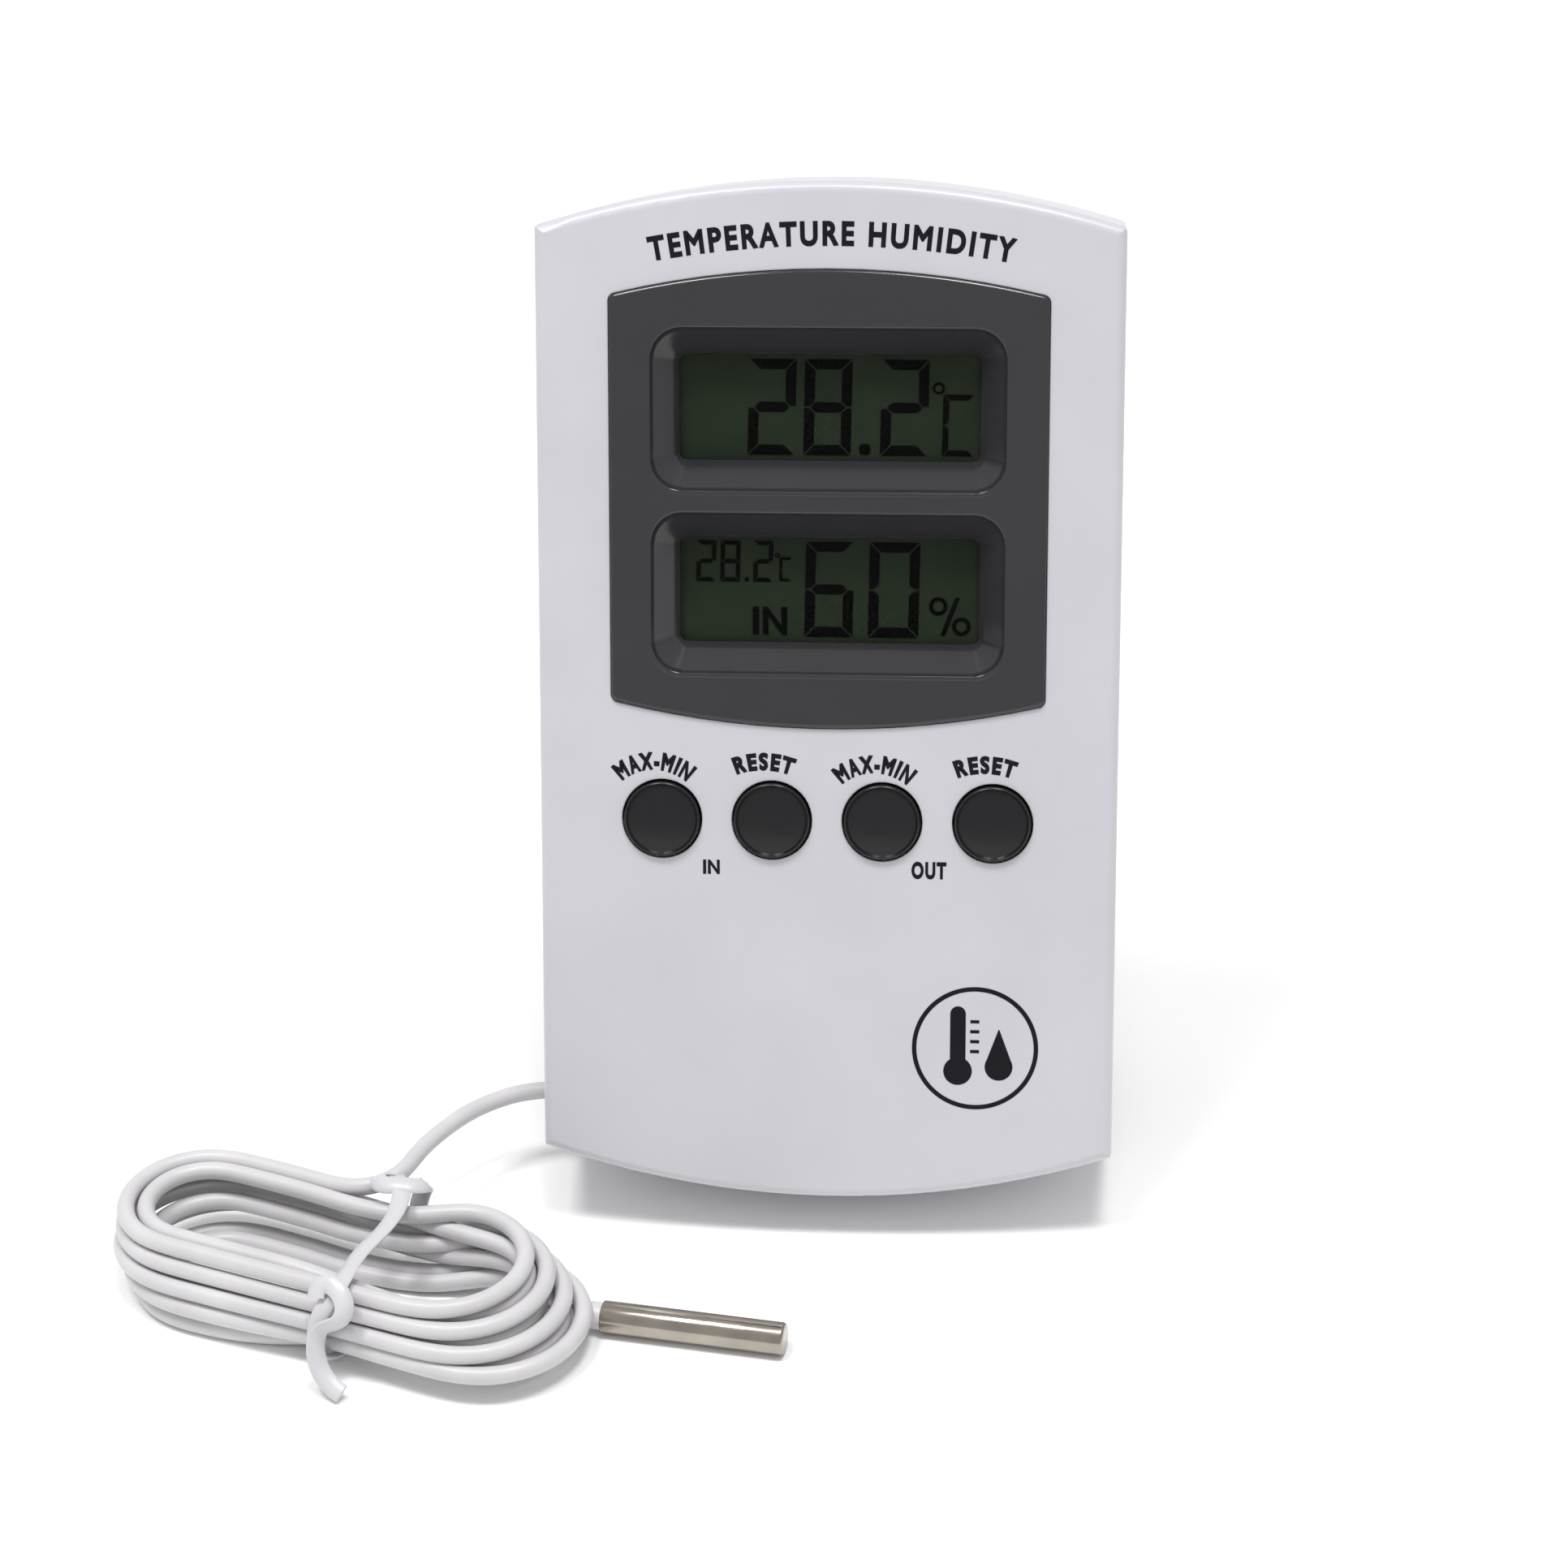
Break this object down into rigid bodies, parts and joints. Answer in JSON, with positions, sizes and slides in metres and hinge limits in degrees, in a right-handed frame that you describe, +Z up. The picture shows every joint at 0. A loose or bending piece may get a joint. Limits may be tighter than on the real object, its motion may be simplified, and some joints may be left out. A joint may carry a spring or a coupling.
{
  "type": "maximum minimum thermometer",
  "caption": "Leaning digital maximum minimum thermometer and humidity meter with two displays, four buttons, a fold-out stand and a corded steel outdoor probe.",
  "frame": {"origin": "middle of the case footprint on the surface it stands on, with the stand open and the cord left out", "axes": "+Z up, the display faces -Y and leans back, +X to the right of the display as a reader sees it"},
  "size_m": [0.1225, 0.0945, 0.123],
  "materials": {
    "white_plastic": "moulded, fine satin gloss, slightly cool white",
    "grey_plastic": "moulded, glossy dark grey",
    "button_plastic": "moulded, satin dark grey",
    "clear_plastic": "clear acrylic sheet",
    "lcd_glass": "olive grey liquid crystal glass",
    "conductive_rubber": "layered black elastomer",
    "board_laminate": "green solder mask",
    "black_epoxy": "glob top epoxy",
    "plated_steel": "nickel plated",
    "stainless_steel": "drawn stainless tube, polished",
    "capacitor_sleeve": "shrink sleeve",
    "sensor_plastic": "moulded sensor housing",
    "silicone_rubber": "soft moulded",
    "black_plastic": "moulded",
    "battery_jacket": "plain printed jacket",
    "wire_insulation": "red and black insulation",
    "cord_vinyl": "soft white vinyl jacket",
    "tie_vinyl": "flat vinyl over a thin wire"
  },
  "bodies": {
    "case": {"front_case": "white_plastic", "rear_case": "white_plastic", "display_bezel": "grey_plastic", "upper_window_lens": "clear_plastic", "lower_window_lens": "clear_plastic", "upper_lcd": "lcd_glass", "lower_lcd": "lcd_glass", "upper_contact_strip": "conductive_rubber", "lower_contact_strip": "conductive_rubber", "circuit_board": "board_laminate", "controller_chip": "black_epoxy", "timing_crystal": "plated_steel", "supply_capacitor": "capacitor_sleeve", "humidity_sensor": "sensor_plastic", "indoor_thermistor": "black_epoxy", "button_pad": "silicone_rubber", "unit_switch_body": "black_plastic", "battery_cell": "battery_jacket", "battery_spring": "plated_steel", "battery_plate": "plated_steel", "battery_wires": "wire_insulation", "case_screws": "plated_steel", "board_screws": "plated_steel", "cord_grommet": "cord_vinyl", "inner_lead": "cord_vinyl", "sensor_lead": "cord_vinyl", "cord_hank": "cord_vinyl", "twist_tie": "tie_vinyl", "probe_tube": "stainless_steel", "probe_seal": "cord_vinyl", "probe_thermistor": "black_epoxy"},
    "indoor_max_min_key": {"indoor_max_min_button": "button_plastic"},
    "indoor_reset_key": {"indoor_reset_button": "button_plastic"},
    "outdoor_max_min_key": {"outdoor_max_min_button": "button_plastic"},
    "outdoor_reset_key": {"outdoor_reset_button": "button_plastic"},
    "unit_switch": {"unit_switch_knob": "black_plastic"},
    "door": {"battery_door": "white_plastic"},
    "stand": {"stand_leg": "white_plastic"}
  },
  "joints": [
    {"name": "indoor_max_min_press", "type": "slide", "parent": "case", "child": "indoor_max_min_key", "axis": [0, 0.9455, -0.3256], "range_m": [0, 0.0008], "stiffness_N_per_m": 1500},
    {"name": "indoor_reset_press", "type": "slide", "parent": "case", "child": "indoor_reset_key", "axis": [0, 0.9455, -0.3256], "range_m": [0, 0.0008], "stiffness_N_per_m": 1500},
    {"name": "outdoor_max_min_press", "type": "slide", "parent": "case", "child": "outdoor_max_min_key", "axis": [0, 0.9455, -0.3256], "range_m": [0, 0.0008], "stiffness_N_per_m": 1500},
    {"name": "outdoor_reset_press", "type": "slide", "parent": "case", "child": "outdoor_reset_key", "axis": [0, 0.9455, -0.3256], "range_m": [0, 0.0008], "stiffness_N_per_m": 1500},
    {"name": "unit_switch_slide", "type": "slide", "parent": "case", "child": "unit_switch", "axis": [1, 0, 0], "range_m": [0, 0.0025]},
    {"name": "battery_door_lift", "type": "hinge", "parent": "case", "child": "door", "pos_m": [0, -0.00862, 0.01697], "axis": [-1, 0, 0], "range_deg": [0, 70]},
    {"name": "stand_fold", "type": "hinge", "parent": "case", "child": "stand", "pos_m": [0, 0.00808, 0.0587], "axis": [1, 0, 0], "range_deg": [-26, 0]}
  ]
}
